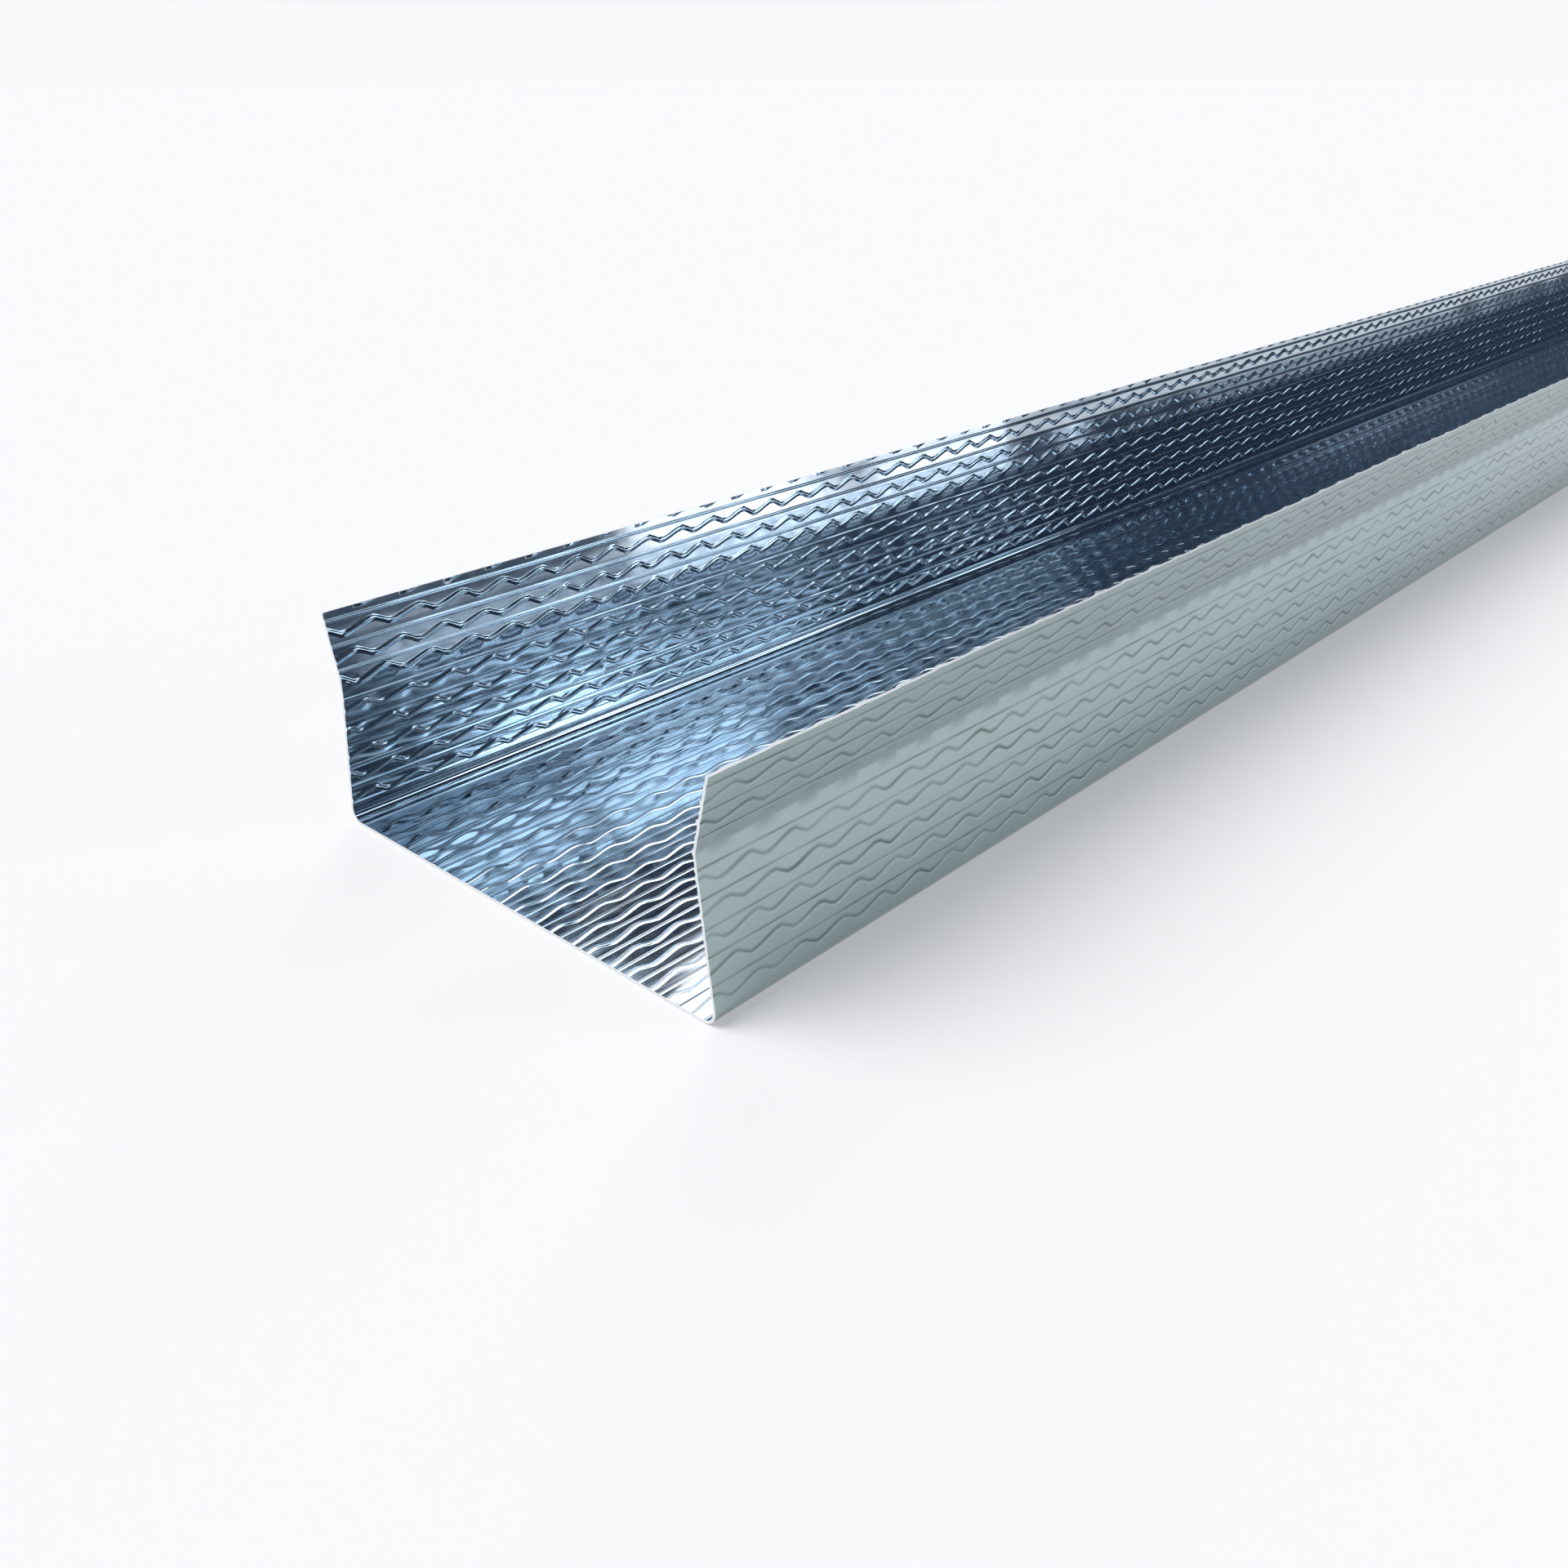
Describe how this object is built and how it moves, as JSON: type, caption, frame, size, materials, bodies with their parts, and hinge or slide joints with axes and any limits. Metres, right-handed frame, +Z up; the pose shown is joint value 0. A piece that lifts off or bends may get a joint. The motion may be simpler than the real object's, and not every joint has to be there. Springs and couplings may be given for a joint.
{
  "type": "drywall track",
  "caption": "Cold-formed galvanised steel channel with embossed faces, leaning flanges and flared lips, which holds the ends of wall studs at the floor or ceiling.",
  "frame": {"origin": "middle of the track's length and width, on the underside of the web", "axes": "+X along the length, +Y across the web, +Z up out of the channel's open side"},
  "size_m": [3.048, 0.0888, 0.0381],
  "materials": {
    "galvanised_steel": "zinc-coated sheet, cool grey, glossy on the inner faces and satin on the outer ones"
  },
  "bodies": {
    "root": {"track": "galvanised_steel"}
  },
  "joints": []
}
